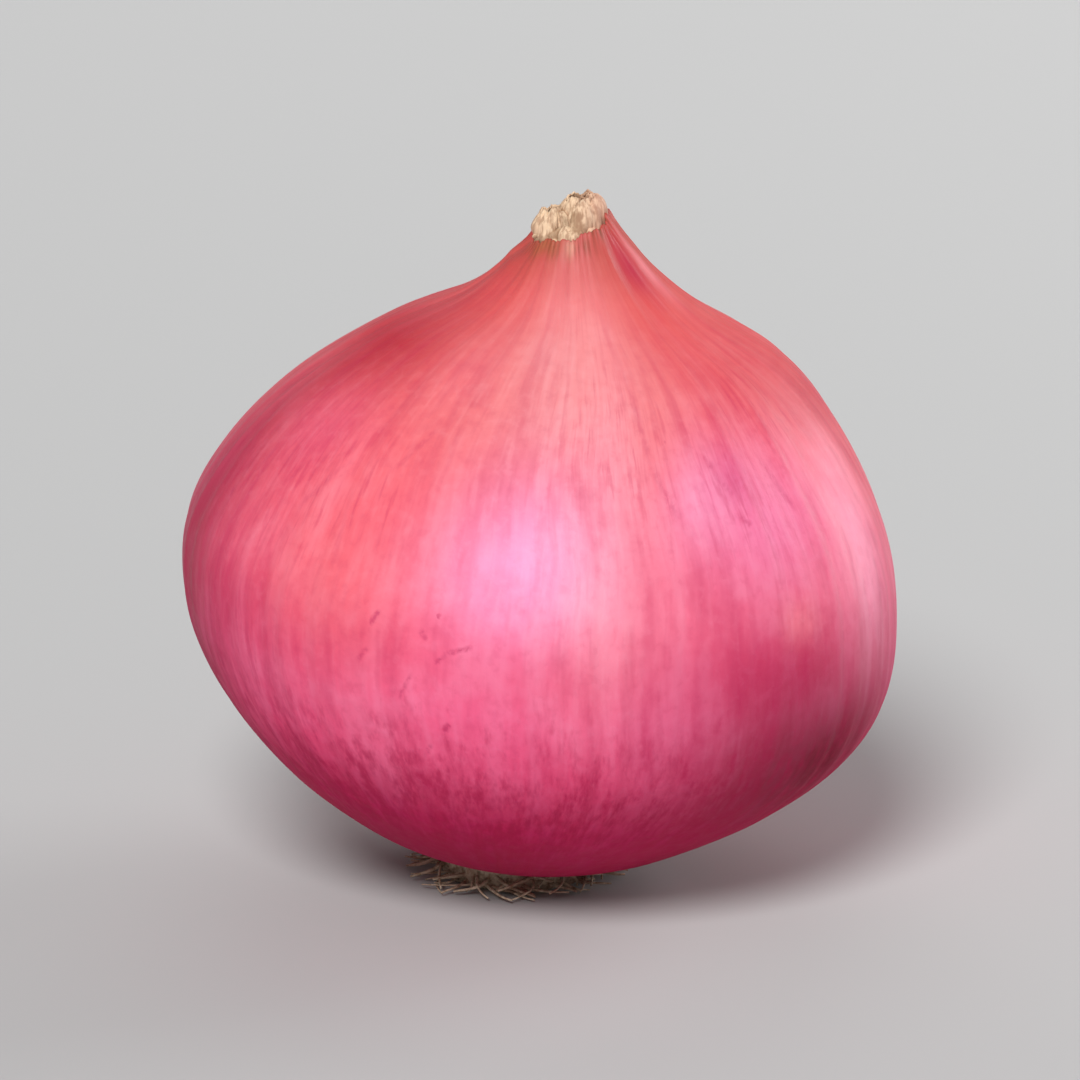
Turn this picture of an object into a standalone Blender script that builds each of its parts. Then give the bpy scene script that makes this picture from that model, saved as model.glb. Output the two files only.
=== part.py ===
"""Red onion: a bulb in papery skin with raised veins, a dry cut neck and a trimmed root plate.

Metres, +Z up. The origin is the middle of the small flat spot that the onion stands on, and the
viewer's side is -Y. Each piece is first turned about an upright axis. One growth function then
gives all of them the same lobes, sway and lean, so that the gaps between them stay even.
"""

import math
import random

import bmesh
import bpy
from mathutils import Vector

DIAMETER = 0.066
HEIGHT = 0.065
LEAN = math.radians(5.0)
RADIUS = DIAMETER / 2

GAP = 0.00035
SKIN = 0.0007

# Outer side of the bulb, from the torn rim down to the root plate, as shares of RADIUS and HEIGHT.
SIDE = [
    (0.139, 0.952),
    (0.174, 0.926),
    (0.236, 0.891),
    (0.345, 0.849),
    (0.556, 0.792),
    (0.742, 0.712),
    (0.885, 0.620),
    (0.975, 0.524),
    (1.000, 0.434),
    (0.976, 0.340),
    (0.883, 0.247),
    (0.704, 0.155),
    (0.484, 0.080),
    (0.330, 0.046),
    (0.243, 0.035),
]
SIDE_RINGS = 34

# Wander of the axis toward +X: how far in metres, and its middle and reach as shares of HEIGHT.
SWAY = [(0.0009, 0.24, 0.13), (-0.0005, 0.50, 0.12), (0.0019, 0.81, 0.11)]

# Waves round the onion: size, how many in a turn, and where they start, in radians.
LOBES = [(0.010, 2, 1.2), (0.008, 3, 1.7), (0.004, 5, 0.4)]
RIM_WAVES = [(1.00, 1, -0.44), (0.16, 5, -0.87), (0.12, 11, -1.57), (0.10, 17, 0.43)]
VEIN_WANDER = [(0.030, 3, -0.57), (0.016, 7, 0.43)]
CORE_FOLDS = [(0.00028, 6, -1.07), (0.00017, 11, 0.43)]

VEINS = 36
SIDES_PER_VEIN = 3
VEIN_HEIGHT = 0.00022
VEIN_SEED = 7

RIM_RADIUS = SIDE[0][0] * RADIUS
RIM_HEIGHT = SIDE[0][1] * HEIGHT
RIM_RISE = 0.0011
RIM_TAPER = 0.13
NECK_START = 0.86 * HEIGHT

POCKET_FLOOR = 0.0570
POCKET_RADIUS = 0.0042
POCKET_ROUNDING = 0.0006
POCKET_SHOULDER = 0.0025

CORE_TOP = 0.983 * HEIGHT
CORE_SIDES = 30
CORE_STEP = 0.0002
SLIT_DEPTH = 0.0010
SLIT_WIDTH = 0.0007

PLATE_RADIUS = 0.0073
PLATE_TOP = 0.0031
PLATE_ROUNDING = 0.0006
PLATE_SIDES = 40

ROOTS = 26
ROOT_SEED = 11
ROOT_THICKNESS = 0.0010
ROOT_STATIONS = 5
ROOT_TAPER = 0.35
ROOT_ARCH = 0.00025


def clear_scene():
    for old in list(bpy.data.objects):
        bpy.data.objects.remove(old, do_unlink=True)


def new_collection(name):
    collection = bpy.data.collections.new(name)
    bpy.context.scene.collection.children.link(collection)
    return collection


def material(name, colour, roughness):
    made = bpy.data.materials.new(name)
    made.use_nodes = True
    shader = made.node_tree.nodes["Principled BSDF"]
    shader.inputs["Base Color"].default_value = (*colour, 1)
    shader.inputs["Roughness"].default_value = roughness
    shader.inputs["Metallic"].default_value = 0
    made.diffuse_color = (*colour, 1)
    return made


def skin_material():
    return material("skin", (0.72, 0.10, 0.17), 0.42)


def dry_leaf_material():
    return material("dry_leaf", (0.80, 0.58, 0.38), 0.8)


def root_material():
    return material("root", (0.42, 0.29, 0.17), 0.9)


def smoothstep(low, high, value):
    share = min(max((value - low) / (high - low), 0.0), 1.0)
    return share * share * (3 - 2 * share)


def waves(table, angle):
    return sum(size * math.cos(count * angle + start) for size, count, start in table)


def smooth_curve(points, count):
    """`count` points, evenly spaced along a Catmull-Rom curve through the given ones."""
    ends = [2 * points[0] - points[1], *points, 2 * points[-1] - points[-2]]
    fine = []
    for before, start, end, after in zip(ends, ends[1:], ends[2:], ends[3:]):
        for step in range(12):
            t = step / 12
            straight = 2 * start + (end - before) * t
            bent = (2 * before - 5 * start + 4 * end - after) * t ** 2
            twisted = (3 * start - before - 3 * end + after) * t ** 3
            fine.append((straight + bent + twisted) / 2)
    fine.append(points[-1])
    along = [0.0]
    for one, two in zip(fine, fine[1:]):
        along.append(along[-1] + (two - one).length)
    even = []
    place = 0
    for index in range(count):
        wanted = along[-1] * index / (count - 1)
        while place < len(fine) - 2 and along[place + 1] < wanted:
            place += 1
        share = (wanted - along[place]) / (along[place + 1] - along[place])
        even.append(fine[place].lerp(fine[place + 1], min(share, 1.0)))
    return even


def sway(height):
    """How far the axis has wandered toward +X at this height."""
    share = height / HEIGHT
    return sum(far * math.exp(-((share - middle) / reach) ** 2) for far, middle, reach in SWAY)


def grown(point):
    """Moves a point of a turned piece to where it lies on the grown, leaning onion."""
    radius = math.hypot(point.x, point.y)
    angle = math.atan2(point.y, point.x)
    share = point.z / HEIGHT
    body = smoothstep(0.02, 0.16, share) * (1 - smoothstep(0.80, 0.90, share))
    torn = waves(RIM_WAVES, angle) * smoothstep(NECK_START, RIM_HEIGHT, point.z)
    radius *= (1 + waves(LOBES, angle) * body) * (1 - RIM_TAPER * torn)
    height = point.z + RIM_RISE * torn
    x = radius * math.cos(angle) + sway(height)
    y = radius * math.sin(angle)
    across = x * math.cos(LEAN) + height * math.sin(LEAN)
    upward = height * math.cos(LEAN) - x * math.sin(LEAN)
    return Vector((across, y, upward))


def evaluated_mesh(piece):
    graph = bpy.context.evaluated_depsgraph_get()
    return bpy.data.meshes.new_from_object(piece.evaluated_get(graph))


def turned(name, profile, sides, collection):
    """A piece turned round Z from points (radius, height), given down its outer side."""
    outline = bpy.data.meshes.new(name)
    edges = [(index, index + 1) for index in range(len(profile) - 1)]
    outline.from_pydata([(radius, 0, height) for radius, height in profile], edges, [])
    piece = bpy.data.objects.new(name, outline)
    collection.objects.link(piece)
    screw = piece.modifiers.new("turn", "SCREW")
    screw.axis = "Z"
    screw.angle = math.tau
    screw.steps = sides
    screw.render_steps = sides
    screw.use_merge_vertices = True
    screw.merge_threshold = 0.00001
    piece.data = evaluated_mesh(piece)
    piece.modifiers.clear()
    return piece


def reshape(piece, rule):
    for vertex in piece.data.vertices:
        vertex.co = rule(vertex.co)


def finish(piece, look, sharp_degrees):
    piece.data.materials.clear()
    piece.data.materials.append(look)
    piece.data.shade_smooth()
    piece.data.set_sharp_from_angle(angle=math.radians(sharp_degrees))


def make_bulb(collection):
    """The body in its skin. Its profile runs from the neck pocket over the rim to the root recess."""
    draw = random.Random(VEIN_SEED)
    strengths = [draw.uniform(0.35, 1.0) for _ in range(VEINS)]
    side = [Vector((radius * RADIUS, height * HEIGHT)) for radius, height in SIDE]
    pocket = [
        (0, POCKET_FLOOR),
        (0.7 * POCKET_RADIUS, POCKET_FLOOR),
        (POCKET_RADIUS, POCKET_FLOOR + POCKET_ROUNDING),
        (POCKET_RADIUS, POCKET_FLOOR + POCKET_SHOULDER),
        (RIM_RADIUS - SKIN, RIM_HEIGHT),
    ]
    outside = [tuple(point) for point in smooth_curve(side, SIDE_RINGS)]
    recess = [
        (PLATE_RADIUS + GAP, PLATE_TOP + GAP - PLATE_ROUNDING),
        (PLATE_RADIUS + GAP - PLATE_ROUNDING, PLATE_TOP + GAP),
        (0, PLATE_TOP + GAP),
    ]
    piece = turned("bulb", pocket + outside + recess, VEINS * SIDES_PER_VEIN, collection)

    def veined(point):
        """Raises the veins on the outside: they start above the root and soften in the neck."""
        radius = math.hypot(point.x, point.y)
        if radius < RIM_RADIUS - SKIN / 2:
            return point.copy()
        angle = math.atan2(point.y, point.x)
        vein = round(angle / math.tau * VEINS) % VEINS
        share = point.z / HEIGHT
        reach = smoothstep(0.05, 0.35, share) * (1 - 0.5 * smoothstep(0.78, 0.90, share))
        radius += VEIN_HEIGHT * strengths[vein] * reach * math.cos(VEINS * angle)
        angle += waves(VEIN_WANDER, angle)
        return Vector((radius * math.cos(angle), radius * math.sin(angle), point.z))

    reshape(piece, lambda point: grown(veined(point)))
    finish(piece, skin_material(), 40)


def make_dry_neck(collection):
    """The leaf stubs in the neck: two lumps of dry, folded layers with a slit between them."""
    wall = RIM_RADIUS - SKIN - GAP
    foot = POCKET_FLOOR + GAP
    profile = [
        (0, CORE_TOP),
        (0.21 * wall, CORE_TOP),
        (0.43 * wall, CORE_TOP - 0.0001),
        (0.65 * wall, CORE_TOP - 0.0003),
        (0.85 * wall, CORE_TOP - 0.0008),
        (wall, CORE_TOP - 0.0016),
        (wall, RIM_HEIGHT),
        (POCKET_RADIUS - GAP, POCKET_FLOOR + POCKET_SHOULDER),
        (POCKET_RADIUS - GAP, foot + POCKET_ROUNDING),
        (0.7 * POCKET_RADIUS, foot),
        (0, foot),
    ]
    piece = turned("dry_neck", profile, CORE_SIDES, collection)

    def folded(point):
        """Folds what stands out of the rim, steps it up toward +X and cuts the slit."""
        proud = smoothstep(RIM_HEIGHT, CORE_TOP - 0.0010, point.z)
        radius = math.hypot(point.x, point.y)
        fold = proud * waves(CORE_FOLDS, math.atan2(point.y, point.x))
        share = 1 + fold / radius if radius > GAP else 1
        step = CORE_STEP * (2 * smoothstep(-0.0028, 0.0016, point.x) - 1)
        slit = SLIT_DEPTH * math.exp(-(point.x / SLIT_WIDTH) ** 2)
        return Vector((point.x * share, point.y * share, point.z + proud * (step - slit)))

    reshape(piece, lambda point: grown(folded(point)))
    finish(piece, dry_leaf_material(), 50)


def add_root(name, angle, draw, collection):
    """One dry root, from inside the plate out under the bulb, as a tapered tube."""
    start = PLATE_RADIUS - 0.0018
    end = PLATE_RADIUS + draw.uniform(0.0012, 0.0042)
    curl = draw.uniform(-0.28, 0.28)
    thickness = ROOT_THICKNESS * draw.uniform(0.75, 1.0)
    clear_of_ground = draw.uniform(0.00012, 0.00030)
    curve = bpy.data.curves.new(name, "CURVE")
    curve.dimensions = "3D"
    curve.bevel_depth = thickness / 2
    curve.bevel_resolution = 1
    curve.use_fill_caps = True
    line = curve.splines.new("POLY")
    line.points.add(ROOT_STATIONS - 1)
    for index, station in enumerate(line.points):
        share = index / (ROOT_STATIONS - 1)
        radius = start + (end - start) * share
        way = angle + curl * share ** 2
        taper = 1 - ROOT_TAPER * share
        height = thickness / 2 * taper + clear_of_ground + ROOT_ARCH * math.sin(math.pi * share)
        station.co = (radius * math.cos(way), radius * math.sin(way), height, 1)
        station.radius = taper
    tube = bpy.data.objects.new(name, curve)
    collection.objects.link(tube)
    solid = bpy.data.objects.new(name + "_solid", evaluated_mesh(tube))
    bpy.data.objects.remove(tube)
    collection.objects.link(solid)
    weld = bmesh.new()
    weld.from_mesh(solid.data)
    bmesh.ops.remove_doubles(weld, verts=weld.verts, dist=0.00001)
    weld.to_mesh(solid.data)
    weld.free()


def join_all(piece, collection):
    """Unites the piece with every solid of the collection, which is then emptied."""
    union = piece.modifiers.new("join", "BOOLEAN")
    union.operation = "UNION"
    union.operand_type = "COLLECTION"
    union.collection = collection
    piece.data = evaluated_mesh(piece)
    piece.modifiers.clear()
    for solid in list(collection.objects):
        bpy.data.objects.remove(solid)


def cut_level(piece):
    """Cuts off what is below the ground, which leaves the flat spot."""
    cut = bmesh.new()
    cut.from_mesh(piece.data)
    whole = cut.verts[:] + cut.edges[:] + cut.faces[:]
    made = bmesh.ops.bisect_plane(
        cut, geom=whole, plane_co=(0, 0, 0), plane_no=(0, 0, -1), clear_outer=True
    )
    edges = [part for part in made["geom_cut"] if isinstance(part, bmesh.types.BMEdge)]
    bmesh.ops.contextual_create(cut, geom=edges)
    cut.to_mesh(piece.data)
    cut.free()


def make_root_plate(collection, helpers):
    """The basal plate, cut flat where the onion stands, with its ring of root stubs."""
    below_ground = -0.0012
    profile = [
        (0, PLATE_TOP),
        (PLATE_RADIUS - PLATE_ROUNDING, PLATE_TOP),
        (PLATE_RADIUS, PLATE_TOP - PLATE_ROUNDING),
        (PLATE_RADIUS, 0.0014),
        (PLATE_RADIUS - 0.0003, 0.0004),
        (PLATE_RADIUS - 0.0006, below_ground),
        (0, below_ground),
    ]
    piece = turned("root_plate", profile, PLATE_SIDES, collection)
    reshape(piece, grown)
    draw = random.Random(ROOT_SEED)
    for index in range(ROOTS):
        angle = (index + draw.uniform(-0.25, 0.25)) * math.tau / ROOTS
        add_root(f"root_{index:02d}", angle, draw, helpers)
    join_all(piece, helpers)
    cut_level(piece)
    finish(piece, root_material(), 35)


def main():
    clear_scene()
    onion = new_collection("onion")
    helpers = new_collection("root_stubs")
    make_bulb(onion)
    make_dry_neck(onion)
    make_root_plate(onion, helpers)
    bpy.data.collections.remove(helpers)


main()
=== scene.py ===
"""Red onion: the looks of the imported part.

Metres, +Z up, in the frame's own axes. The skin, the dry neck and the root plate each stand for the
solid of their name. They grow by the same formulas as the solids, with finer relief on top.
"""

import math
import random

import bmesh
import bpy
import numpy as np
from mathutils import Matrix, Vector, noise


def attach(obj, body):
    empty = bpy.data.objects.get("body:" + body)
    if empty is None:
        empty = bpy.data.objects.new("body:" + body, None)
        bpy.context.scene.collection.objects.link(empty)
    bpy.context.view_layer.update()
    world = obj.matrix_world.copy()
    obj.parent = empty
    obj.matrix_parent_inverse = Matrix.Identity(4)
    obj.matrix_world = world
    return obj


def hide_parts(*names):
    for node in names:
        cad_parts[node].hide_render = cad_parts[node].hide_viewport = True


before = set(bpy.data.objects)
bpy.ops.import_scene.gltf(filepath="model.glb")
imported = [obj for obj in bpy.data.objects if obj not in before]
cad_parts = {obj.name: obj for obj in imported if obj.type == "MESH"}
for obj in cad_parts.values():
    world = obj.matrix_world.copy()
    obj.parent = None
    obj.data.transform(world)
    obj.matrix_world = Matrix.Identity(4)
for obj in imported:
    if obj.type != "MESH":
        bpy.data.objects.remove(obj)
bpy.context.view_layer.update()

# Driving dimensions, in metres, as in the part.
DIAMETER = 0.066
HEIGHT = 0.065
RADIUS = DIAMETER / 2
LEAN = math.radians(5.0)

# The side from the rim to the root plate, as shares of the radius and of the height.
SIDE = [
    (0.139, 0.952),
    (0.174, 0.926),
    (0.236, 0.891),
    (0.345, 0.849),
    (0.556, 0.792),
    (0.742, 0.712),
    (0.885, 0.620),
    (0.975, 0.524),
    (1.000, 0.434),
    (0.976, 0.340),
    (0.883, 0.247),
    (0.704, 0.155),
    (0.484, 0.080),
    (0.330, 0.046),
    (0.243, 0.035),
]

# Where the axis sways: how far, then the middle and the reach as shares of the height.
SWAY = [(0.0009, 0.24, 0.13), (-0.0005, 0.50, 0.12), (0.0019, 0.81, 0.11)]

# Waves round the onion: size, count and start. The lobes' sizes are shares of the radius, the rim's
# are scaled by RIM_RISE and RIM_TAPER, and the veins' are turns in radians.
LOBES = [(0.010, 2, 1.2), (0.008, 3, 1.7), (0.004, 5, 0.4)]
RIM_WAVES = [(1.00, 1, -0.44), (0.16, 5, -0.87), (0.12, 11, -1.57), (0.10, 17, 0.43)]
VEIN_WANDER = [(0.030, 3, -0.57), (0.016, 7, 0.43)]

# The rim, the pocket in the neck, the root plate, and the gap round the plate.
RIM_RADIUS = SIDE[0][0] * RADIUS
RIM_HEIGHT = SIDE[0][1] * HEIGHT
RIM_RISE = 0.0011
RIM_TAPER = 0.13
NECK_START = 0.86 * HEIGHT
POCKET_FLOOR = 0.0570
PLATE_RADIUS = 0.0073
PLATE_TOP = 0.0031
GAP = 0.00035

# The skin's mesh and its relief, in metres. Its rows crowd towards the rim.
SKIN_COLUMNS = 640
SKIN_ROWS = 146
ROW_CROWDING = 1.25
SKIN_SEED = 5
PAPER = 0.00022
VEIN_HEIGHT = 0.00004
FINE_VEIN_HEIGHT = 0.000015
FLUTE_DEPTH = 0.00009
PLEAT_DEPTH = 0.00006
TEAR = 0.00016
NOTCH = 0.00004
TORN_DEPTH = 0.0016
LEANING_DEPTH = 0.0024

# How far the veins turn round the body below the neck.
TWIST = math.radians(8)

# Where the torn rim leans in over the dry neck: angle and reach in degrees, how far it rises and leans.
RIM_FLAPS = [(-8, 40, 0.0013, 0.0017), (178, 42, 0.0, 0.0008), (-92, 42, 0.0011, 0.0004)]

# Larger folds: angle, reach in degrees, share of the height at their middle, their reach, and height.
FOLDS = [
    (-47, 8, 0.90, 0.05, -0.00030),
    (-27, 9, 0.90, 0.05, 0.00022),
    (-108, 10, 0.90, 0.05, 0.00015),
    (-150, 12, 0.90, 0.05, -0.00020),
    (-66, 4, 0.70, 0.11, -0.00016),
    (-75, 5, 0.74, 0.12, 0.00014),
    (-56, 5, 0.68, 0.10, 0.00012),
    (-47, 4, 0.66, 0.09, -0.00012),
    (-103, 5, 0.76, 0.10, -0.00014),
    (-112, 6, 0.72, 0.12, 0.00012),
]

# The camera: how wide it sees at the aim, how steeply it looks down, how far off it stands.
VIEW_WIDTH = 0.100
VIEW_ELEVATION = math.radians(16)
VIEW_DISTANCE = 0.85
VIEW_AIM = Vector((0.0023, 0.0, 0.0321))

# The photo's pixel that lies at the aim, how many pixels the onion spans, and the width of one.
PHOTO_AIM = (576, 512)
ONION_PIXELS = 245
PHOTO_PIXEL = DIAMETER / ONION_PIXELS


def smoothstep(low, high, value):
    """A soft step from 0 at `low` to 1 at `high`."""
    share = np.clip((value - low) / (high - low), 0.0, 1.0)
    return share * share * (3 - 2 * share)


def waves(table, angle):
    """The sum of waves round the onion, each given as its size, count and start."""
    return sum(size * np.cos(count * angle + start) for size, count, start in table)


def smooth_curve(points, count, crowding):
    """`count` points along a Catmull-Rom curve through the given ones, closer near its start."""
    points = np.array(points, float)
    ends = np.vstack([2 * points[0] - points[1], points, 2 * points[-1] - points[-2]])
    t = np.linspace(0, 1, 24, endpoint=False)[:, None]
    fine = []
    for before, start, end, after in zip(ends, ends[1:], ends[2:], ends[3:]):
        bent = (2 * before - 5 * start + 4 * end - after) * t ** 2
        twisted = (3 * start - before - 3 * end + after) * t ** 3
        fine.append((2 * start + (end - before) * t + bent + twisted) / 2)
    fine = np.vstack([*fine, points[-1:]])
    along = np.concatenate([[0], np.cumsum(np.linalg.norm(np.diff(fine, axis=0), axis=1))])
    wanted = along[-1] * np.linspace(0, 1, count) ** crowding
    return np.stack([np.interp(wanted, along, fine[:, 0]), np.interp(wanted, along, fine[:, 1])], 1)


def sway(height):
    """How far the axis sways to the right at each height."""
    share = height / HEIGHT
    return sum(far * np.exp(-((share - middle) / reach) ** 2) for far, middle, reach in SWAY)


def leaning(x, y, height):
    """Where a point of the upright onion lies once its axis sways and leans."""
    x = x + sway(height)
    across = x * math.cos(LEAN) + height * math.sin(LEAN)
    upward = height * math.cos(LEAN) - x * math.sin(LEAN)
    return np.stack([across, y, upward], -1)


def grown(radius, angle, height):
    """Where points of the turned onion lie on the grown, leaning one, as the part has it."""
    share = height / HEIGHT
    body = smoothstep(0.02, 0.16, share) * (1 - smoothstep(0.80, 0.90, share))
    torn = waves(RIM_WAVES, angle) * smoothstep(NECK_START, RIM_HEIGHT, height)
    radius = radius * (1 + waves(LOBES, angle) * body) * (1 - RIM_TAPER * torn)
    return leaning(radius * np.cos(angle), radius * np.sin(angle), height + RIM_RISE * torn)


def random_waves(draw, least, most, number):
    """Waves round the onion with random counts and starts, of unit strength together."""
    counts = draw.integers(least, most, number)
    starts = draw.uniform(0, math.tau, number)
    return [(math.sqrt(2 / number), int(count), start) for count, start in zip(counts, starts)]


def bell(value, middle, reach):
    """A soft bump of height 1 round `middle`."""
    return np.exp(-((value - middle) / reach) ** 2)


def side_bell(angle, degrees, reach):
    """A soft bump round the onion at an angle, which like its reach is given in degrees."""
    turn = np.angle(np.exp(1j * (angle - math.radians(degrees))))
    return bell(turn, 0, math.radians(reach))


def new_mesh(name, points, faces):
    mesh = bpy.data.meshes.new(name)
    mesh.from_pydata([tuple(point) for point in points.tolist()], [], faces)
    mesh.validate()
    mesh.shade_smooth()
    piece = bpy.data.objects.new(name, mesh)
    bpy.context.scene.collection.objects.link(piece)
    return piece


def ring_faces(rows, columns):
    """Quads between neighbouring rings of `columns` points each, facing out when the rows go down."""
    faces = []
    for row in range(rows - 1):
        for column in range(columns):
            after = (column + 1) % columns
            top = row * columns
            low = top + columns
            faces.append((top + column, low + column, low + after, top + after))
    return faces


def set_vectors(mesh, name, values):
    attribute = mesh.attributes.new(name, "FLOAT_VECTOR", "POINT")
    attribute.data.foreach_set("vector", values.astype(np.float32).ravel())


def set_floats(mesh, name, values):
    attribute = mesh.attributes.new(name, "FLOAT", "POINT")
    attribute.data.foreach_set("value", values.astype(np.float32).ravel())


def set_colours(mesh, name, values):
    alpha = np.ones((len(values), 1))
    attribute = mesh.attributes.new(name, "FLOAT_COLOR", "POINT")
    attribute.data.foreach_set("color", np.hstack([values, alpha]).astype(np.float32).ravel())


class Look:
    """A material on a Principled shader, and short ways to add the nodes that drive it."""

    def __init__(self, name):
        self.material = bpy.data.materials.new(name)
        self.material.use_nodes = True
        self.nodes = self.material.node_tree.nodes
        self.links = self.material.node_tree.links
        self.shader = self.nodes["Principled BSDF"]

    def give(self, socket, value):
        """Links a socket to another one, or sets its constant."""
        if isinstance(value, bpy.types.NodeSocket):
            self.links.new(value, socket)
        elif isinstance(value, tuple) and len(value) == 3 and socket.type == "RGBA":
            socket.default_value = (*value, 1)
        else:
            socket.default_value = value

    def attribute(self, name, output):
        """A value stored at the mesh's points."""
        node = self.nodes.new("ShaderNodeAttribute")
        node.attribute_name = name
        return node.outputs[output]

    def math(self, operation, one, two=0.0):
        node = self.nodes.new("ShaderNodeMath")
        node.operation = operation
        self.give(node.inputs[0], one)
        self.give(node.inputs[1], two)
        return node.outputs[0]

    def vector(self, operation, one, two=(0.0, 0.0, 0.0), output="Vector"):
        node = self.nodes.new("ShaderNodeVectorMath")
        node.operation = operation
        self.give(node.inputs[0], one)
        self.give(node.inputs[1], two)
        return node.outputs[output]

    def stretched(self, vector, across, along):
        """The vector scaled by `across` in x and y, and by `along` in z."""
        return self.vector("MULTIPLY", vector, (across, across, along))

    def noise(self, vector, scale=1.0, detail=2.0, roughness=0.5, distortion=0.0):
        node = self.nodes.new("ShaderNodeTexNoise")
        self.give(node.inputs["Vector"], vector)
        node.inputs["Scale"].default_value = scale
        node.inputs["Detail"].default_value = detail
        node.inputs["Roughness"].default_value = roughness
        node.inputs["Distortion"].default_value = distortion
        return node.outputs["Fac"]

    def fit(self, value, low, high, to_low=0.0, to_high=1.0):
        """A soft step from `to_low` at `low` to `to_high` at `high`."""
        node = self.nodes.new("ShaderNodeMapRange")
        node.interpolation_type = "SMOOTHSTEP"
        self.give(node.inputs["Value"], value)
        node.inputs["From Min"].default_value = low
        node.inputs["From Max"].default_value = high
        node.inputs["To Min"].default_value = to_low
        node.inputs["To Max"].default_value = to_high
        return node.outputs["Result"]

    def cells(self, vector):
        """The node of a pattern of random cells, each with its own colour."""
        node = self.nodes.new("ShaderNodeTexVoronoi")
        self.give(node.inputs["Vector"], vector)
        node.inputs["Scale"].default_value = 1.0
        return node

    def shifted(self, vector, scale, far):
        """The vector, moved about by noise, so that what is drawn with it wanders."""
        pushes = self.nodes.new("ShaderNodeTexNoise")
        self.give(pushes.inputs["Vector"], vector)
        pushes.inputs["Scale"].default_value = scale
        node = self.nodes.new("ShaderNodeVectorMath")
        node.operation = "MULTIPLY_ADD"
        self.give(node.inputs[0], pushes.outputs["Color"])
        node.inputs[1].default_value = (far, far, far)
        self.give(node.inputs[2], vector)
        return node.outputs[0]

    def blend(self, factor, one, two):
        node = self.nodes.new("ShaderNodeMix")
        node.data_type = "RGBA"
        self.give(node.inputs[0], factor)
        self.give(node.inputs[6], one)
        self.give(node.inputs[7], two)
        return node.outputs[2]

    def gamma(self, colour, power):
        node = self.nodes.new("ShaderNodeGamma")
        self.give(node.inputs[0], colour)
        node.inputs[1].default_value = power
        return node.outputs[0]

    def bump(self, height, distance, strength):
        node = self.nodes.new("ShaderNodeBump")
        node.inputs["Strength"].default_value = strength
        node.inputs["Distance"].default_value = distance
        self.give(node.inputs["Height"], height)
        return node.outputs[0]


# Ground colour of the skin by share of the height, from the root plate to the torn rim. The low stops
# darken towards the root plate: partly the skin's own deeper crimson, partly painted shade.
SKIN_BY_SHARE = [
    # The darkest stops: the skin's deeper crimson, darkened further by painted shade under the bulb.
    (0.00, (0.18, 0.001, 0.020)),
    (0.08, (0.36, 0.002, 0.042)),
    (0.18, (0.62, 0.010, 0.095)),
    (0.29, (0.86, 0.075, 0.205)),
    (0.38, (0.88, 0.120, 0.265)),
    (0.46, (0.81, 0.100, 0.205)),
    (0.54, (0.85, 0.138, 0.225)),
    (0.66, (0.78, 0.115, 0.155)),
    (0.78, (0.70, 0.100, 0.110)),
    (0.88, (0.64, 0.090, 0.085)),
    (0.94, (0.48, 0.075, 0.060)),
    (1.00, (0.42, 0.130, 0.070)),
]

# Areas of other colour on the skin: angle and share of their middle, their reach, colour, strength. Some
# rows are painted highlights and painted shade, as marked above each.
SKIN_AREAS_AND_PAINTED_LIGHT = [
    (-97, 0.80, 26, 0.12, (0.82, 0.280, 0.290), 0.88),
    (-82, 0.60, 8, 0.18, (0.88, 0.310, 0.380), 0.80),
    # Painted highlight: the lilac sheen of the key light on the front.
    (-96, 0.585, 14, 0.11, (0.94, 0.340, 0.620), 0.80),
    (-48, 0.64, 20, 0.11, (0.82, 0.178, 0.370), 0.75),
    (-62, 0.67, 7, 0.06, (0.92, 0.320, 0.520), 0.60),
    (-112, 0.31, 16, 0.07, (0.94, 0.150, 0.300), 0.45),
    (-128, 0.54, 18, 0.15, (0.76, 0.122, 0.148), 0.75),
    (-142, 0.41, 18, 0.07, (0.58, 0.030, 0.100), 0.45),
    (-93, 0.43, 16, 0.06, (0.74, 0.090, 0.190), 0.40),
    # Painted shade: dark crimson along the left edge.
    (-170, 0.50, 17, 0.32, (0.34, 0.005, 0.036), 0.88),
    (-48, 0.43, 16, 0.09, (0.62, 0.034, 0.120), 0.88),
    # Painted highlight: a pale pink band down the right side, the rim light's reflection.
    (-22, 0.54, 8, 0.16, (0.98, 0.290, 0.440), 0.88),
    # Painted shade: deep crimson at the lower right.
    (-34, 0.29, 30, 0.15, (0.17, 0.001, 0.015), 0.94),
    (-54, 0.70, 5, 0.035, (0.62, 0.090, 0.230), 0.55),
    # Painted shade: a dark crescent along the upper left contour.
    (-168, 0.79, 32, 0.052, (0.44, 0.014, 0.028), 0.84),
    (-148, 0.69, 13, 0.055, (0.82, 0.135, 0.230), 0.45),
    (-125, 0.78, 12, 0.045, (0.82, 0.190, 0.215), 0.60),
    # A darker red crescent on the right shoulder: partly the skin's own colour, partly painted shade.
    (-26, 0.80, 26, 0.05, (0.60, 0.075, 0.088), 0.70),
    (-14, 0.755, 16, 0.035, (0.55, 0.055, 0.074), 0.68),
    (-44, 0.51, 4, 0.03, (0.92, 0.240, 0.300), 0.55),
    (-40, 0.915, 13, 0.03, (0.45, 0.031, 0.066), 0.82),
    # Painted highlight: a pale pink line on the edge of the fold by the neck.
    (-20, 0.91, 8, 0.03, (0.86, 0.260, 0.300), 0.60),
    (-128, 0.945, 22, 0.010, (0.34, 0.110, 0.040), 0.70),
    (-98, 0.945, 5, 0.008, (0.80, 0.440, 0.320), 0.60),
    (-82, 0.942, 4, 0.006, (0.34, 0.090, 0.060), 0.70),
    (60, 0.52, 30, 0.20, (0.90, 0.180, 0.280), 0.60),
    (115, 0.46, 22, 0.22, (0.62, 0.045, 0.130), 0.60),
]

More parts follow.
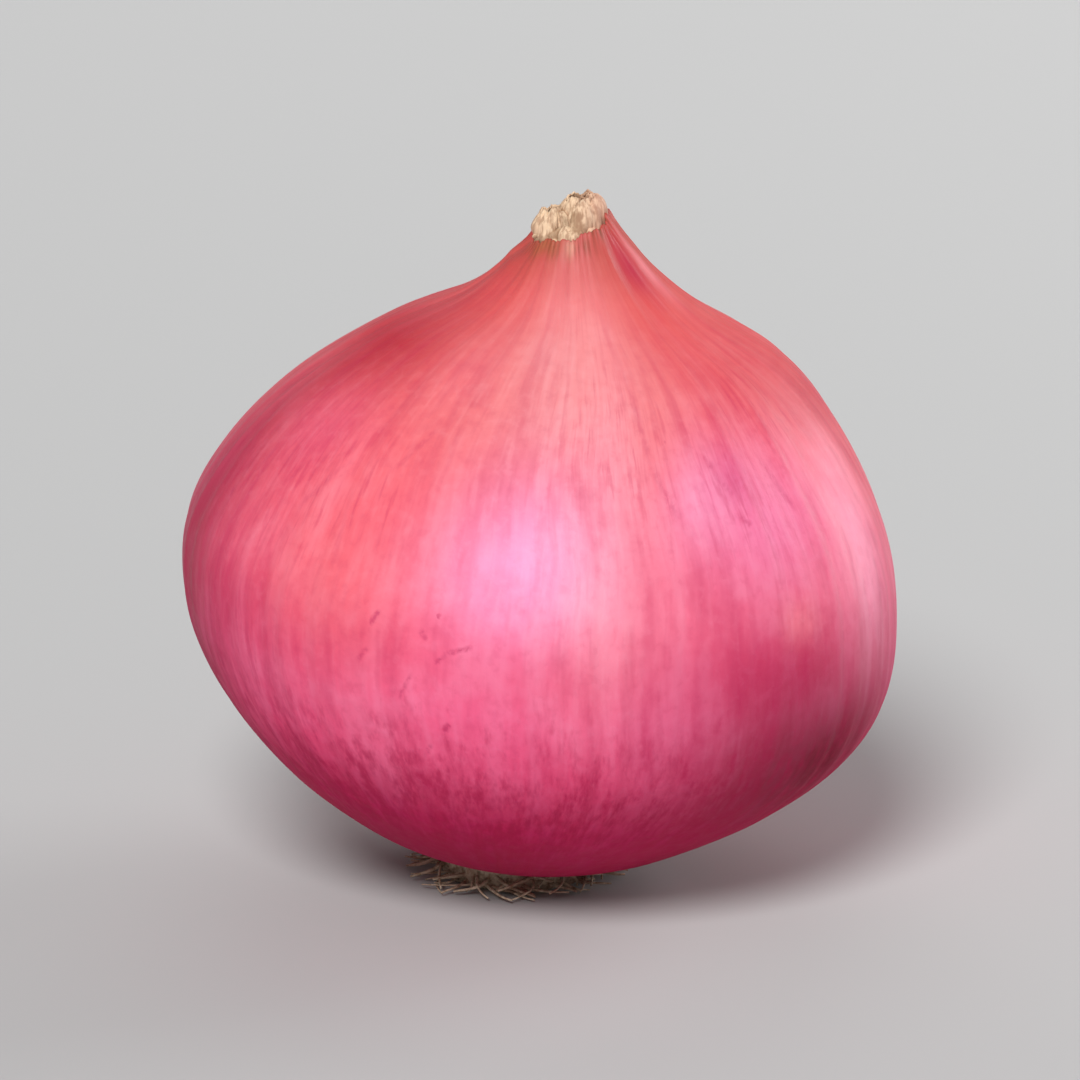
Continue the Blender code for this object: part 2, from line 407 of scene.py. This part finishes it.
# Cracks and soft strokes that the photo shows: their two ends in its pixels, half their width in
# millimetres, and how dark they are.
SEEN_CRACKS = [
    ((521, 536), (518, 541), 0.48, 0.85),
    ((517, 549), (513, 554), 0.42, 0.60),
    ((535, 542), (537, 547), 0.38, 0.65),
    ((553, 549), (544, 551), 0.42, 0.90),
    ((544, 551), (540, 555), 0.42, 0.75),
    ((532, 558), (528, 566), 0.34, 0.60),
    ((545, 575), (543, 578), 0.55, 0.95),
    ((539, 582), (537, 586), 0.40, 0.55),
    ((632, 483), (635, 488), 0.40, 0.70),
    ((632, 483), (642, 497), 0.60, 0.45),
    ((644, 504), (648, 507), 0.50, 0.60),
    ((607, 462), (614, 486), 0.65, 0.35),
    ((614, 486), (623, 504), 0.75, 0.40),
    ((653, 486), (664, 502), 0.65, 0.40),
    ((510, 486), (493, 501), 0.60, 0.34),
    ((498, 484), (489, 492), 0.50, 0.28),
    ((541, 474), (526, 488), 0.60, 0.32),
    ((487, 480), (473, 495), 0.60, 0.30),
    ((472, 493), (470, 497), 0.50, 0.60),
]

# Guessed ones on the hidden side: the same, but their ends are an angle in degrees and a share of
# the height.
HIDDEN_CRACKS = [
    ((21, 0.40), (19, 0.36), 0.38, 0.70),
    ((24, 0.37), (28, 0.35), 0.38, 0.65),
    ((80, 0.56), (76, 0.53), 0.38, 0.70),
    ((82, 0.58), (86, 0.56), 0.38, 0.65),
    ((151, 0.35), (149, 0.30), 0.38, 0.70),
    ((160, 0.37), (154, 0.36), 0.38, 0.65),
]

# Colours of the skin's marks.
DEEP_STREAK = (0.46, 0.007, 0.075)
DARK_MOTTLE = (0.46, 0.005, 0.066)
TORN_EDGE = (0.16, 0.045, 0.022)
CRACK_TINT = (0.44, 0.012, 0.090)

# Areas where fine lines show: angle and share of their middle, and their reach in both.
LINED = [
    (-135, 0.62, 20, 0.09),
    (-80, 0.74, 15, 0.08),
    (-54, 0.66, 13, 0.09),
    (-36, 0.79, 16, 0.07),
    (-165, 0.50, 14, 0.25),
    (-150, 0.36, 18, 0.10),
    (20, 0.60, 20, 0.14),
    (75, 0.40, 26, 0.16),
    (125, 0.66, 24, 0.12),
]


def skin_ground_and_painted_light(angle, share):
    """The skin's ground colour at each point, before the streaks, with the painted highlights and painted
    shade of its areas and low stops.
    """
    stops = np.array([stop for stop, _ in SKIN_BY_SHARE])
    colours = np.array([colour for _, colour in SKIN_BY_SHARE])
    ground = np.stack([np.interp(share, stops, colours[:, band]) for band in range(3)], -1)
    for degrees, middle, reach, tall, colour, strength in SKIN_AREAS_AND_PAINTED_LIGHT:
        weight = strength * side_bell(angle, degrees, reach) * bell(share, middle, tall)
        ground += (np.array(colour) - ground) * weight[:, None]
    return ground


def lined_share(angle, share):
    """How strongly the fine lines show at each point, from 0 to about 1."""
    return sum(
        side_bell(angle, degrees, reach) * bell(share, middle, tall)
        for degrees, middle, reach, tall in LINED
    )


def make_skin():
    """The papery outer skin, from inside the torn rim down to inside the root recess."""
    shape = [(radius * RADIUS, height * HEIGHT) for radius, height in SIDE]
    side = smooth_curve(shape, SKIN_ROWS, ROW_CROWDING)
    lip = np.array([
        (RIM_RADIUS - 4 * PAPER, POCKET_FLOOR + 0.0012),
        (RIM_RADIUS - 2 * PAPER, RIM_HEIGHT - 0.0018),
        (RIM_RADIUS - PAPER, RIM_HEIGHT - 0.0009),
        (RIM_RADIUS - PAPER, RIM_HEIGHT - 0.0003),
        (RIM_RADIUS - PAPER, RIM_HEIGHT),
    ])
    recess = np.array([
        (PLATE_RADIUS + GAP, PLATE_TOP - GAP),
        (PLATE_RADIUS, PLATE_TOP + GAP),
        (PLATE_RADIUS / 2, PLATE_TOP + GAP),
    ])
    outline = np.vstack([lip, side, recess])
    rows = len(outline)
    angle = np.tile(np.arange(SKIN_COLUMNS) * math.tau / SKIN_COLUMNS, (rows, 1))
    radius = np.repeat(outline[:, :1], SKIN_COLUMNS, 1)
    height = np.repeat(outline[:, 1:], SKIN_COLUMNS, 1)
    share = height / HEIGHT

    draw = np.random.default_rng(SKIN_SEED)
    vein = waves(random_waves(draw, 18, 60, 12), angle)
    thin = waves(random_waves(draw, 60, 125, 12), angle)
    pleat = waves(random_waves(draw, 5, 18, 8), angle)
    flute = waves(random_waves(draw, 14, 32, 10), angle)
    outside = smoothstep(RIM_RADIUS - PAPER / 2, RIM_RADIUS, radius)
    rise = outside * smoothstep(0.05, 0.30, share)
    necked = smoothstep(0.80, 0.93, share)
    folds = sum(
        high * side_bell(angle, degrees, reach) * bell(share, middle, tall)
        for degrees, reach, middle, tall, high in FOLDS
    )
    narrow = (outline[:, :1] / RADIUS) ** 0.7
    veins = VEIN_HEIGHT * vein + FINE_VEIN_HEIGHT * thin * (1 - necked)
    pleats = necked * PLEAT_DEPTH * pleat + bell(share, 0.78, 0.12) * FLUTE_DEPTH * flute
    radius = radius + rise * narrow * veins + pleats + folds

    edge = smoothstep(RIM_HEIGHT - TORN_DEPTH, RIM_HEIGHT, height)
    tear = TEAR * waves(random_waves(draw, 3, 15, 7), angle)
    notch = NOTCH * waves(random_waves(draw, 24, 80, 9), angle)
    upper = smoothstep(RIM_HEIGHT - LEANING_DEPTH, RIM_HEIGHT, height)
    height = height + edge * (tear + notch)
    for degrees, reach, rising, inward in RIM_FLAPS:
        flap = side_bell(angle, degrees, reach) * upper
        height = height + rising * flap
        radius = radius - inward * flap
    turned = angle + waves(VEIN_WANDER, angle) + TWIST * (1 - smoothstep(0.55, 0.88, share))
    points = grown(radius, turned, height).reshape(-1, 3)

    faces = ring_faces(rows, SKIN_COLUMNS)
    piece = new_mesh("skin_bulb", points, faces)
    step = np.linalg.norm(np.diff(outline, axis=0), axis=1)
    along = np.concatenate([[0], np.cumsum(step)]) / RADIUS
    along = np.repeat(along[:, None], SKIN_COLUMNS, 1)
    flat = angle.ravel()
    set_vectors(piece.data, "meridian", np.stack([np.cos(flat), np.sin(flat), along.ravel()], -1))
    set_floats(piece.data, "share", share.ravel())
    set_floats(piece.data, "edge", (edge * smoothstep(-0.5, 1.0, -notch / NOTCH)).ravel())
    level = height / RADIUS
    set_vectors(piece.data, "level", np.stack([np.cos(turned), np.sin(turned), level], -1).reshape(-1, 3))
    set_floats(piece.data, "lined", lined_share(turned, share).ravel())
    set_colours(piece.data, "ground", skin_ground_and_painted_light(turned.ravel(), share.ravel()))
    return piece


def in_view(angle, share):
    """How far right of the aim and above it a point of the skin shows in the camera's view."""
    radii, heights = np.array(SIDE[::-1]).T
    radius = np.interp(share, heights, radii) * RADIUS
    offset = grown(radius, angle, share * HEIGHT) - np.array(VIEW_AIM)
    upward = offset[..., 2] * math.cos(VIEW_ELEVATION) + offset[..., 1] * math.sin(VIEW_ELEVATION)
    nearer = offset[..., 2] * math.sin(VIEW_ELEVATION) - offset[..., 1] * math.cos(VIEW_ELEVATION)
    larger = VIEW_DISTANCE / (VIEW_DISTANCE - nearer)
    return offset[..., 0] * larger, upward * larger


def behind_pixel(pixel):
    """The angle in degrees and the share of the height where the skin lies behind a photo's pixel.

    It tries a grid of places on the near side, then ever finer ones round the best place so far.
    """
    rounds, tries, finer = 4, 41, 10
    right = (pixel[0] - PHOTO_AIM[0]) * PHOTO_PIXEL
    above = (PHOTO_AIM[1] - pixel[1]) * PHOTO_PIXEL
    angle, share = math.radians(-90), 0.55
    half_turn, half_share = math.radians(85), 0.35
    for _ in range(rounds):
        angles = np.linspace(angle - half_turn, angle + half_turn, tries)
        shares = np.linspace(share - half_share, share + half_share, tries)
        every_angle, every_share = np.meshgrid(angles, shares)
        across, upward = in_view(every_angle, every_share)
        best = np.argmin(np.hypot(across - right, upward - above))
        angle, share = every_angle.flat[best], every_share.flat[best]
        half_turn, half_share = half_turn / finer, half_share / finer
    return math.degrees(angle), share


def on_level(place):
    """A place on the skin as a point of the unit cylinder round the upright onion."""
    turn = math.radians(place[0])
    return Vector((math.cos(turn), math.sin(turn), place[1] * HEIGHT / RADIUS))


def crack_mark(look, level, one, two, half_width, dark):
    """One crack from `one` to `two`, as a line that fades at its ends."""
    start, end = on_level(one), on_level(two)
    middle = (start + end) / 2
    outward = Vector((middle.x, middle.y, 0))
    normal = (end - start).cross(outward).normalized()
    wide = half_width / 1000 / RADIUS
    long = 0.62 * (end - start).length
    away = look.vector("SUBTRACT", level, tuple(middle))
    across = look.math("ABSOLUTE", look.vector("DOT_PRODUCT", away, tuple(normal), "Value"))
    line = look.fit(across, wide, 0, 0, dark)
    fading = look.fit(look.vector("LENGTH", away, output="Value"), long, 0.45 * long)
    return look.math("MULTIPLY", line, fading)


def skin_marks(look, meridian):
    """Short cracks in the paper, and a few dark specks all over."""
    wander = 0.018
    level = look.shifted(look.attribute("level", "Vector"), 32, wander)
    level = look.vector("SUBTRACT", level, (wander / 2, wander / 2, wander / 2))
    crack = 0.0
    for one, two, half_width, dark in SEEN_CRACKS:
        mark = crack_mark(look, level, behind_pixel(one), behind_pixel(two), half_width, dark)
        crack = look.math("MAXIMUM", mark, crack)
    for one, two, half_width, dark in HIDDEN_CRACKS:
        crack = look.math("MAXIMUM", crack_mark(look, level, one, two, half_width, dark), crack)
    crack = look.math("MULTIPLY", crack, look.fit(look.noise(level, 75), 0.36, 0.58, 0.45, 1.0))
    spots = look.cells(look.shifted(look.stretched(meridian, 9, 6), 12, 0.08))
    dot = look.fit(spots.outputs["Distance"], 0.080, 0.030)
    parts = look.nodes.new("ShaderNodeSeparateColor")
    look.give(parts.inputs[0], spots.outputs["Color"])
    rare = look.fit(parts.outputs[0], 0.90, 0.93)
    speck = look.math("MULTIPLY", dot, rare)
    return look.math("MAXIMUM", crack, look.math("MULTIPLY", speck, 0.8))


def skin_look():
    """Red paper: a ground colour under streaks, lines and mottling, with a satin finish."""
    look = Look("papery_skin")
    meridian = look.attribute("meridian", "Vector")
    place = look.nodes.new("ShaderNodeTexCoord").outputs["Object"]
    share = look.attribute("share", "Fac")
    ground = look.attribute("ground", "Color")
    low = look.fit(share, 0.52, 0.24)
    calm = look.fit(share, 0.94, 0.74, 0.24, 1.0)

    blotches = look.noise(place, 130, detail=3, roughness=0.6)
    pebbles = look.noise(place, 850, detail=3, roughness=0.55)
    bands = look.noise(look.stretched(meridian, 2.6, 0.5), detail=2)
    streaks = look.noise(look.stretched(meridian, 9, 1.6), detail=2, distortion=0.3)
    strokes = look.noise(look.stretched(meridian, 24, 4.5), detail=2, distortion=0.2)
    lines = look.noise(look.stretched(meridian, 44, 7.0), detail=2, distortion=0.15)
    threads = look.noise(look.stretched(meridian, 90, 14.0), detail=1)
    flecks = look.noise(look.stretched(meridian, 38, 14.0), detail=3, roughness=0.60)
    clouds = look.noise(look.stretched(meridian, 10, 8.0), detail=3, roughness=0.6)
    wrinkles = look.noise(look.stretched(meridian, 14, 26), detail=2, roughness=0.6)

    def mixed(colour, wave, none_at, all_at, most, other, where=calm):
        """The colour with up to `most` of another one mixed in, as a wave goes past two values."""
        amount = look.math("MULTIPLY", look.fit(wave, none_at, all_at, 0, most), where)
        return look.blend(amount, colour, other)

    paler = look.gamma(ground, 0.74)
    deeper = look.blend(0.60, ground, DEEP_STREAK)
    colour = mixed(ground, blotches, 0.50, 0.70, 0.40, paler)
    colour = mixed(colour, blotches, 0.48, 0.30, 0.35, deeper)
    colour = mixed(colour, bands, 0.52, 0.72, 0.35, paler)
    colour = mixed(colour, bands, 0.48, 0.28, 0.40, deeper)
    colour = mixed(colour, streaks, 0.50, 0.72, 0.45, paler)
    colour = mixed(colour, streaks, 0.48, 0.28, 0.50, deeper)
    colour = mixed(colour, strokes, 0.50, 0.72, 0.30, paler)
    colour = mixed(colour, strokes, 0.50, 0.28, 0.30, deeper)
    lined = look.math("MULTIPLY", calm, look.fit(look.attribute("lined", "Fac"), 0.0, 0.9, 0.10, 1.0))
    colour = mixed(colour, lines, 0.50, 0.72, 0.24, paler, lined)
    colour = mixed(colour, lines, 0.48, 0.28, 0.52, deeper, lined)
    colour = mixed(colour, threads, 0.46, 0.30, 0.12, deeper, lined)
    colour = mixed(colour, pebbles, 0.50, 0.72, 0.20, paler)
    colour = mixed(colour, pebbles, 0.50, 0.28, 0.20, deeper)

    mottled = look.blend(look.fit(flecks, 0.48, 0.74, 0, 0.20), colour, paler)
    depth = look.math("ADD", look.math("MULTIPLY", flecks, 0.55), look.math("MULTIPLY", clouds, 0.45))
    reach = look.fit(share, 0.12, 0.48, 0.08, -0.06)
    dark = look.math("SUBTRACT", depth, reach)
    mottled = look.blend(look.fit(dark, 0.54, 0.30, 0, 0.66), mottled, DARK_MOTTLE)
    colour = look.blend(low, colour, mottled)
    edge = look.math("MULTIPLY", look.attribute("edge", "Fac"), look.fit(blotches, 0.35, 0.6))
    colour = look.blend(edge, colour, TORN_EDGE)
    marks = skin_marks(look, meridian)
    colour = look.blend(look.math("MULTIPLY", marks, 0.66), colour, CRACK_TINT)

    look.give(look.shader.inputs["Base Color"], colour)
    rough = look.math("ADD", look.fit(pebbles, 0.3, 0.7, 0.40, 0.52), look.math("MULTIPLY", low, 0.28))
    look.give(look.shader.inputs["Roughness"], rough)
    look.shader.inputs["IOR"].default_value = 1.23
    relief = look.math("ADD", look.math("MULTIPLY", strokes, 0.30), look.math("MULTIPLY", pebbles, 0.45))
    relief = look.math("ADD", relief, look.math("MULTIPLY", wrinkles, 0.35))
    relief = look.math("ADD", relief, look.math("MULTIPLY", threads, 0.08))
    relief = look.math("SUBTRACT", relief, look.math("MULTIPLY", marks, 0.2))
    look.give(look.shader.inputs["Normal"], look.bump(relief, 0.00012, 0.8))
    look.shader.inputs["Subsurface Weight"].default_value = 0.10
    look.shader.inputs["Subsurface Radius"].default_value = (1.0, 0.25, 0.3)
    look.shader.inputs["Subsurface Scale"].default_value = 0.0015
    return look.material


def add_sheet(points, faces, middle, reach, top, start, sweep, close, seed):
    """One dry leaf base, rolled round `middle` and drawn together at its top, as an open sheet."""
    columns, rows = 128, 24
    first = sum(len(block) for block in points)
    around = np.linspace(0, 1, columns)
    angle = math.radians(start) + math.radians(sweep) * around
    up = np.linspace(0, 1, rows)[:, None]
    ragged = [0.00045 * noise.noise(Vector((1.9 * a, seed, 0.5))) for a in angle]
    notched = [0.00020 * noise.noise(Vector((7.0 * a, seed, 4.5))) for a in angle]
    low = POCKET_FLOOR + 0.001
    height = low + (top - low) * up + (np.array(ragged) + np.array(notched)) * up ** 3
    shrink = np.sqrt(np.clip(1 - close * up ** 7, 0, 1)) * (1 - 0.14 * around)
    crinkle = np.array([[
        noise.noise(Vector((1.5 * math.cos(a), 1.5 * math.sin(a) + 3 * seed, 1.2 * b)))
        + 0.18 * noise.noise(Vector((4 * math.cos(a), 4 * math.sin(a) + 3 * seed, 3 * b)))
        + 0.30 * noise.noise(Vector((11 * math.cos(a), 11 * math.sin(a) + 3 * seed, 0.5 * b)))
        for a in angle] for b in up.ravel() * 3])
    far = shrink * (1 + 0.22 * crinkle * smoothstep(0.2, 0.9, up))
    x = middle[0] + reach[0] * far * np.cos(angle)
    y = middle[1] + reach[1] * far * np.sin(angle)
    height = height + 0.25 * (x - middle[0]) * smoothstep(0.5, 1.0, up)
    points.append(leaning(x, y, height).reshape(-1, 3))
    for row in range(rows - 1):
        for column in range(columns - 1):
            corner = first + row * columns + column
            faces.append((corner, corner + 1, corner + columns + 1, corner + columns))


# The dry leaf bases. Three groups, each with its middle and its top: the main roll, a lower one at
# its left, and low scraps round both. The sheets of a group follow: their reach to the side and to
# the front, how much higher their top is, the angle where they start, their sweep, how far they close.
LEAF_BASES = [
    ((0.0003, 0.0), 0.0649, [
        (0.0024, 0.0028, 0.0, -114, 338, 0.62),
        (0.0019, 0.0022, 0.0002, 20, 350, 0.62),
        (0.0013, 0.0015, 0.0001, 140, 350, 0.60),
        (0.0007, 0.0008, -0.0002, 250, 350, 0.60),
    ]),
    ((-0.0023, -0.0003), 0.0636, [
        (0.0020, 0.0024, 0.0, -60, 345, 0.62),
        (0.0015, 0.0018, 0.0002, 120, 350, 0.62),
        (0.0009, 0.0011, 0.0, 200, 350, 0.60),
    ]),
    ((-0.0004, 0.0), 0.0624, [
        (0.0041, 0.0036, 0.0, 40, 200, 0.40),
        (0.0038, 0.0034, 0.0003, 190, 170, 0.40),
    ]),
]


def make_dry_neck():
    """The cut leaf bases, as thin rolled sheets."""
    points, faces = [], []
    seed = 0.0
    for middle, group_top, sheets in LEAF_BASES:
        for wide, deep, higher, start, sweep, close in sheets:
            seed += 1.0
            top = group_top + higher
            add_sheet(points, faces, middle, (wide, deep), top, start, sweep, close, seed)
    piece = new_mesh("leaf_bases", np.vstack(points), faces)
    thick = piece.modifiers.new("thickness", "SOLIDIFY")
    thick.thickness = 0.7 * PAPER
    thick.offset = 0
    apply_modifiers(piece)
    return piece


def apply_modifiers(piece):
    """Makes the piece's modifiers part of its mesh."""
    graph = bpy.context.evaluated_depsgraph_get()
    piece.data = bpy.data.meshes.new_from_object(piece.evaluated_get(graph))
    piece.modifiers.clear()


def dry_look():
    """Dry leaf: cream fibres with brown blotches that are also painted shade in the gaps, a little pinker
    at the right.
    """
    look = Look("dry_leaf")
    place = look.nodes.new("ShaderNodeTexCoord").outputs["Object"]
    fibre = look.noise(look.stretched(place, 3200, 500), detail=3)
    blotch = look.noise(place, 560, detail=3)
    colour = look.blend(look.fit(fibre, 0.35, 0.62), (0.47, 0.29, 0.18), (0.78, 0.56, 0.37))
    # The blotches: brown stains, darkened further as painted shade in the gaps between the dry leaves.
    colour = look.blend(look.fit(blotch, 0.52, 0.64, 0, 0.72), colour, (0.30, 0.16, 0.080))
    across = look.nodes.new("ShaderNodeSeparateXYZ")
    look.give(across.inputs[0], place)
    pinkish = look.fit(across.outputs[0], 0.0050, 0.0086, 0, 0.50)
    colour = look.blend(pinkish, colour, (0.62, 0.29, 0.22))
    look.give(look.shader.inputs["Base Color"], colour)
    look.shader.inputs["Roughness"].default_value = 0.75
    look.give(look.shader.inputs["Normal"], look.bump(fibre, 0.00008, 0.6))
    return look.material


ROOT_COUNT = 90
ROOT_SEED = 23
GOLDEN_ANGLE = 2.39996


def make_root_plate():
    """The basal plate, with the same flat spot, and its dry wiry roots."""
    sides = 96
    off_axis = 0.00016
    outline = np.array([
        (0.0, PLATE_TOP),
        (PLATE_RADIUS - 0.0006, PLATE_TOP),
        (PLATE_RADIUS, PLATE_TOP - 0.0006),
        (PLATE_RADIUS, 0.0020),
        (PLATE_RADIUS, 0.0014),
        (PLATE_RADIUS - 0.0002, 0.0008),
        (PLATE_RADIUS - 0.0004, 0.0003),
        (PLATE_RADIUS - 0.0007, 0.0),
        (0.0, 0.0),
    ])
    rows = len(outline)
    angle = np.tile(np.arange(sides) * math.tau / sides, (rows, 1))
    rough = waves([(0.00012, 17, 0.2), (0.00010, 29, 1.1), (0.00006, 43, 2.0)], angle)
    radius = outline[:, :1] + rough * (outline[:, :1] > PLATE_RADIUS / 2)
    x = radius * np.cos(angle) + off_axis
    y = radius * np.sin(angle)
    points = np.stack([x, y, np.repeat(outline[:, 1:], sides, 1)], -1).reshape(-1, 3)
    piece = new_mesh("root_plate_and_roots", points, ring_faces(rows, sides))
    weld = bmesh.new()
    weld.from_mesh(piece.data)
    bmesh.ops.remove_doubles(weld, verts=weld.verts, dist=1e-6)
    draw = random.Random(ROOT_SEED)
    for index in range(ROOT_COUNT):
        add_root(weld, index * GOLDEN_ANGLE + draw.uniform(-0.1, 0.1), draw)
    weld.to_mesh(piece.data)
    weld.free()
    piece.data.shade_smooth()
    return piece


def add_root(mesh, angle, draw):
    """One wiry root: a tapered tube that leaves the plate's side and wanders out over the ground."""
    sides, stations = 6, 10
    thick = draw.uniform(0.00013, 0.00027)
    start = PLATE_RADIUS - 0.0006
    length = draw.uniform(0.0014, 0.0044)
    height = draw.uniform(0.0005, 0.0021)
    fall = draw.uniform(0.2, 1.0)
    bend, wave, phase = draw.uniform(-0.5, 0.5), draw.uniform(0.0001, 0.0004), draw.uniform(0, 6)
    line = []
    for station in range(stations):
        share = station / (stations - 1)
        way = angle + bend * share ** 1.5
        radius = start + length * share
        side = wave * math.sin(5 * share + phase)
        level = height + (thick - height) * fall * share ** 1.3
        line.append(Vector((
            radius * math.cos(way) - side * math.sin(way),
            radius * math.sin(way) + side * math.cos(way),
            max(level, thick),
        )))
    rings = []
    for station, point in enumerate(line):
        ahead = line[min(station + 1, stations - 1)] - line[max(station - 1, 0)]
        across = ahead.cross(Vector((0, 0, 1))).normalized()
        upward = across.cross(ahead).normalized()
        wide = thick * (1 - 0.6 * station / (stations - 1))
        rings.append([
            mesh.verts.new(point + wide * (math.cos(a) * across + math.sin(a) * upward))
            for a in (math.tau * side / sides for side in range(sides))
        ])
    for one, two in zip(rings, rings[1:]):
        for side in range(sides):
            after = (side + 1) % sides
            mesh.faces.new((one[side], one[after], two[after], two[side]))
    mesh.faces.new(rings[0][::-1])
    mesh.faces.new(rings[-1])


def root_look():
    """Corky root: tan grain with reddish patches."""
    look = Look("dry_root")
    place = look.nodes.new("ShaderNodeTexCoord").outputs["Object"]
    grain = look.noise(place, 1500, detail=4, roughness=0.65)
    patch = look.noise(place, 260, detail=2)
    colour = look.blend(look.fit(grain, 0.3, 0.7), (0.28, 0.17, 0.10), (0.72, 0.58, 0.43))
    colour = look.blend(look.fit(patch, 0.45, 0.7, 0, 0.6), colour, (0.44, 0.20, 0.15))
    look.give(look.shader.inputs["Base Color"], colour)
    look.shader.inputs["Roughness"].default_value = 0.85
    look.give(look.shader.inputs["Normal"], look.bump(grain, 0.0002, 0.8))
    return look.material


def make_camera():
    """The camera, at the photo's viewing angle."""
    camera = bpy.data.objects.new("camera", bpy.data.cameras.new("camera"))
    bpy.context.scene.collection.objects.link(camera)
    back = Vector((0, -math.cos(VIEW_ELEVATION), math.sin(VIEW_ELEVATION)))
    camera.location = VIEW_AIM + back * VIEW_DISTANCE
    camera.rotation_euler = (-back).to_track_quat("-Z", "Y").to_euler()
    camera.data.sensor_width = 36
    camera.data.lens = camera.data.sensor_width * VIEW_DISTANCE / VIEW_WIDTH
    camera.data.clip_start = 0.01
    bpy.context.scene.camera = camera


def make_floor():
    """A plain pale floor."""
    half_side = 12
    mesh = bpy.data.meshes.new("floor")
    grid = bmesh.new()
    bmesh.ops.create_grid(grid, x_segments=1, y_segments=1, size=half_side)
    grid.to_mesh(mesh)
    grid.free()
    floor = bpy.data.objects.new("floor", mesh)
    bpy.context.scene.collection.objects.link(floor)
    look = Look("pale_floor")
    look.shader.inputs["Base Color"].default_value = (0.46, 0.46, 0.46, 1)
    look.shader.inputs["Roughness"].default_value = 0.9
    floor.data.materials.append(look.material)


def aim_back(lamp, azimuth, elevation, distance):
    """Stands a lamp off the onion's middle and turns it to look there. Azimuth 0 is the viewer's side."""
    a, e = math.radians(azimuth), math.radians(elevation)
    back = Vector((math.sin(a) * math.cos(e), -math.cos(a) * math.cos(e), math.sin(e)))
    lamp.location = Vector((0, 0, HEIGHT / 2)) + back * distance
    lamp.rotation_euler = (-back).to_track_quat("-Z", "Y").to_euler()


def add_sun(name, azimuth, elevation, strength, spread):
    """A soft distant light, `spread` degrees wide."""
    data = bpy.data.lights.new(name, "SUN")
    data.energy = strength
    data.angle = math.radians(spread)
    lamp = bpy.data.objects.new(name, data)
    bpy.context.scene.collection.objects.link(lamp)
    aim_back(lamp, azimuth, elevation, 1)


def add_softbox(name, azimuth, elevation, distance, size, power):
    """A soft light from a bright rectangle."""
    data = bpy.data.lights.new(name, "AREA")
    data.shape = "RECTANGLE"
    data.size, data.size_y = size
    data.energy = power
    lamp = bpy.data.objects.new(name, data)
    bpy.context.scene.collection.objects.link(lamp)
    aim_back(lamp, azimuth, elevation, distance)


def make_lights():
    """Soft studio light: the air, a wide key from the front left, and two softboxes behind."""
    world = bpy.data.worlds.new("studio")
    world.use_nodes = True
    world.node_tree.nodes["Background"].inputs["Color"].default_value = (1, 1, 1, 1)
    world.node_tree.nodes["Background"].inputs["Strength"].default_value = 0.22
    bpy.context.scene.world = world
    add_sun("key", -13, 42, 3.3, 22)
    add_softbox("rim_right", 120, 16, 0.9, (0.50, 0.50), 4.8)
    add_softbox("fill_back", 180, 40, 1.0, (0.60, 0.60), 1.5)
    bpy.context.scene.view_settings.view_transform = "Standard"


def dress(piece, look, node):
    """Gives a piece its material and its place in the frame."""
    piece.data.materials.append(look)
    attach(piece, "root")
    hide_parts(node)


def main():
    make_camera()
    make_floor()
    make_lights()
    dress(make_skin(), skin_look(), "bulb")
    dress(make_dry_neck(), dry_look(), "dry_neck")
    dress(make_root_plate(), root_look(), "root_plate")


main()
